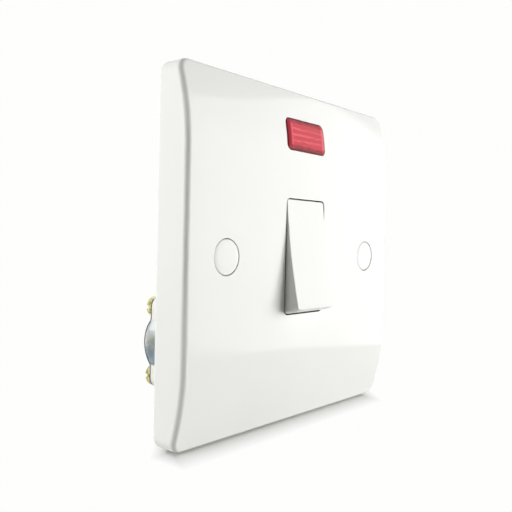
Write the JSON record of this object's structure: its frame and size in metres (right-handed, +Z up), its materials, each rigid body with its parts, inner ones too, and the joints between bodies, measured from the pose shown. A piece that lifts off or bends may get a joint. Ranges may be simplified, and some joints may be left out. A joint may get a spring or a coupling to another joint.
{
  "type": "double pole switch",
  "caption": "Moulded wall switch plate with a tilting rocker, a red neon lens, capped fixing holes, wire terminals and a cord clamp at its back.",
  "frame": {"origin": "midway between the fixing holes, on the wall plane at the back of the plate", "axes": "+X to the right seen from the front, +Y into the wall, +Z up"},
  "size_m": [0.086, 0.0353, 0.086],
  "materials": {
    "white_urea": "gloss",
    "white_nylon": "satin",
    "red_lens": "gloss",
    "brass": "polished",
    "copper": "satin",
    "silver": "satin",
    "zinc_steel": "plated",
    "spring_steel": "satin",
    "lamp_glass": "clear",
    "nickel_wire": "satin",
    "resistor_coat": "satin",
    "lead_insulation": "satin"
  },
  "bodies": {
    "plate": {"base_screws": "zinc_steel", "clamp_saddle": "white_nylon", "clamp_screws": "brass", "clamp_strap": "zinc_steel", "dropper_resistor": "resistor_coat", "earth_screw": "brass", "earth_terminal": "brass", "fixed_tips": "silver", "front_plate": "white_urea", "lamp_electrodes": "nickel_wire", "lamp_holder": "white_nylon", "load_terminal_left": "brass", "load_terminal_right": "brass", "neon_lamp": "lamp_glass", "neon_lead_left": "lead_insulation", "neon_lead_right": "lead_insulation", "neon_lens": "red_lens", "screw_cap_left": "white_urea", "screw_cap_right": "white_urea", "supply_terminal_left": "brass", "supply_terminal_right": "brass", "switch_base": "white_nylon", "terminal_screws": "brass"},
    "rocker": {"rocker": "white_urea", "plunger_spring_left": "spring_steel", "plunger_spring_right": "spring_steel"},
    "plunger_left": {"plunger_left": "white_nylon"},
    "plunger_right": {"plunger_right": "white_nylon"},
    "contact_left": {"contact_bar_left": "copper", "moving_tip_left": "silver"},
    "contact_right": {"contact_bar_right": "copper", "moving_tip_right": "silver"}
  },
  "joints": [
    {"name": "rocker_pivot", "type": "hinge", "parent": "plate", "child": "rocker", "pos_m": [0, -0.0071, 0], "axis": [1, 0, 0], "range_deg": [0, 18]},
    {"name": "contact_rock_left", "type": "hinge", "parent": "plate", "child": "contact_left", "pos_m": [-0.004, 0.00561, 0], "axis": [1, 0, 0], "range_deg": [-18, 0]},
    {"name": "contact_rock_right", "type": "hinge", "parent": "plate", "child": "contact_right", "pos_m": [0.004, 0.00561, 0], "axis": [1, 0, 0], "range_deg": [-18, 0]},
    {"name": "plunger_slide_left", "type": "slide", "parent": "rocker", "child": "plunger_left", "axis": [0, 0.9877, -0.1564], "range_m": [0, 0.0003], "stiffness_N_per_m": 200, "springref_m": 0.0003, "deforming": ["plunger_spring_left"]},
    {"name": "plunger_slide_right", "type": "slide", "parent": "rocker", "child": "plunger_right", "axis": [0, 0.9877, -0.1564], "range_m": [0, 0.0003], "stiffness_N_per_m": 200, "springref_m": 0.0003, "deforming": ["plunger_spring_right"]}
  ],
  "couplings": [
    {"joint": "contact_rock_left", "follows": "rocker_pivot", "ratio": -1},
    {"joint": "contact_rock_right", "follows": "rocker_pivot", "ratio": -1}
  ]
}
